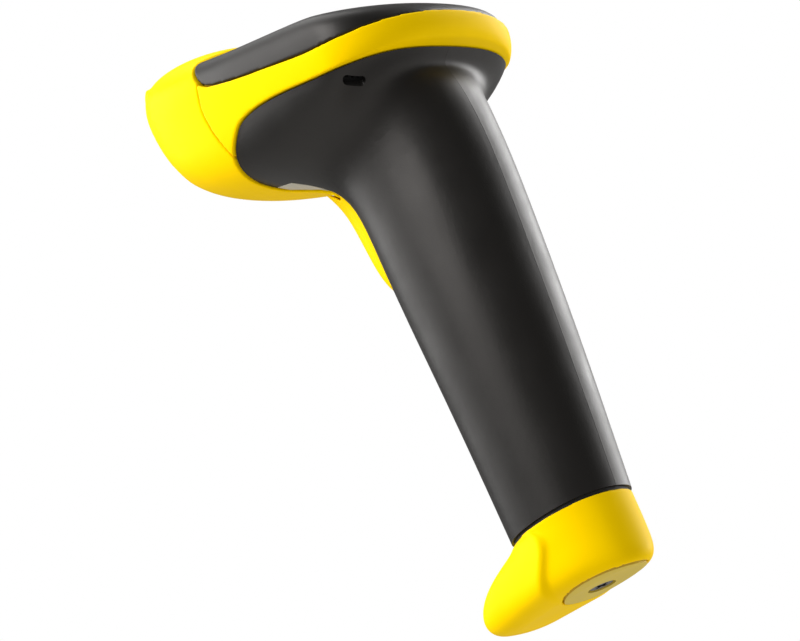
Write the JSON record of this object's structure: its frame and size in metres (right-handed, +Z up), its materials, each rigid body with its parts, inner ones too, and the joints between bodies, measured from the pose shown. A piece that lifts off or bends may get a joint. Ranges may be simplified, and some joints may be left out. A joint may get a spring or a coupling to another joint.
{
  "type": "handheld barcode scanner",
  "caption": "Cordless handheld barcode scanner: pistol grip, finger trigger, wrap-round head band, front scan window and a boot-shaped base cap.",
  "frame": {"origin": "middle of the footprint on the sole plane, 6 mm in front of the base screw", "axes": "+Z up along the grip, +X the way the scanner aims, +Y the scanner's own left side"},
  "size_m": [0.0942, 0.0658, 0.1755],
  "materials": {
    "housing_black": "fine matte texture",
    "trim_yellow": "satin moulded",
    "seal_rubber": "matte",
    "screw_steel": "satin",
    "contact_gold": "plated",
    "window_clear": "polished, faint red tint",
    "optic_glass": "polished",
    "lamp_clear": "frosted",
    "engine_black": "matte",
    "board_green": "solder mask",
    "chip_black": "matte epoxy",
    "shield_tin": "tinned",
    "cell_wrap": "shrink wrap",
    "inner_grey": "moulded",
    "lead_red": "wire insulation",
    "label_white": "blank printed film"
  },
  "bodies": {
    "scanner": {"left_housing": "housing_black", "right_housing": "housing_black", "top_cover": "housing_black", "bumper_band": "trim_yellow", "nose_bezel": "trim_yellow", "base_cap": "trim_yellow", "sole_plate": "trim_yellow", "case_screws": "screw_steel", "base_screw": "screw_steel", "engine_screws": "screw_steel", "trigger_pivot_pin": "screw_steel", "trigger_spring": "screw_steel", "seal_ring": "seal_rubber", "window_gasket": "seal_rubber", "contact_block": "seal_rubber", "charging_contacts": "contact_gold", "cell_contacts": "contact_gold", "scan_window": "window_clear", "camera_lens": "optic_glass", "lamp_diffusers": "lamp_clear", "indicator_lens": "lamp_clear", "light_pipe": "lamp_clear", "lamp_leds": "lamp_clear", "status_led": "lamp_clear", "engine_chassis": "engine_black", "camera_barrel": "engine_black", "beeper": "engine_black", "beeper_mesh": "engine_black", "trigger_switch": "engine_black", "trigger_board": "board_green", "main_board": "board_green", "lamp_board": "board_green", "sensor_board": "board_green", "board_chips": "chip_black", "image_sensor": "chip_black", "radio_module": "shield_tin", "battery_sleeve": "inner_grey", "battery_cell": "cell_wrap", "battery_lead": "lead_red", "contact_lead": "lead_red", "engine_ribbon": "inner_grey", "belly_label": "label_white"},
    "trigger": {"trigger": "trim_yellow"},
    "plunger": {"switch_plunger": "inner_grey"}
  },
  "joints": [
    {"name": "trigger_hinge", "type": "hinge", "parent": "scanner", "child": "trigger", "pos_m": [0.008, 0, 0.117], "axis": [0, 1, 0], "range_deg": [0, 5], "stiffness_Nm_per_rad": 0.08, "springref_deg": -2.86},
    {"name": "plunger_slide", "type": "slide", "parent": "scanner", "child": "plunger", "axis": [-1, 0, 0], "range_m": [0, 0.00125], "stiffness_N_per_m": 0.5}
  ],
  "couplings": [
    {"joint": "plunger_slide", "follows": "trigger_hinge", "m_per_rad": 0.014}
  ]
}
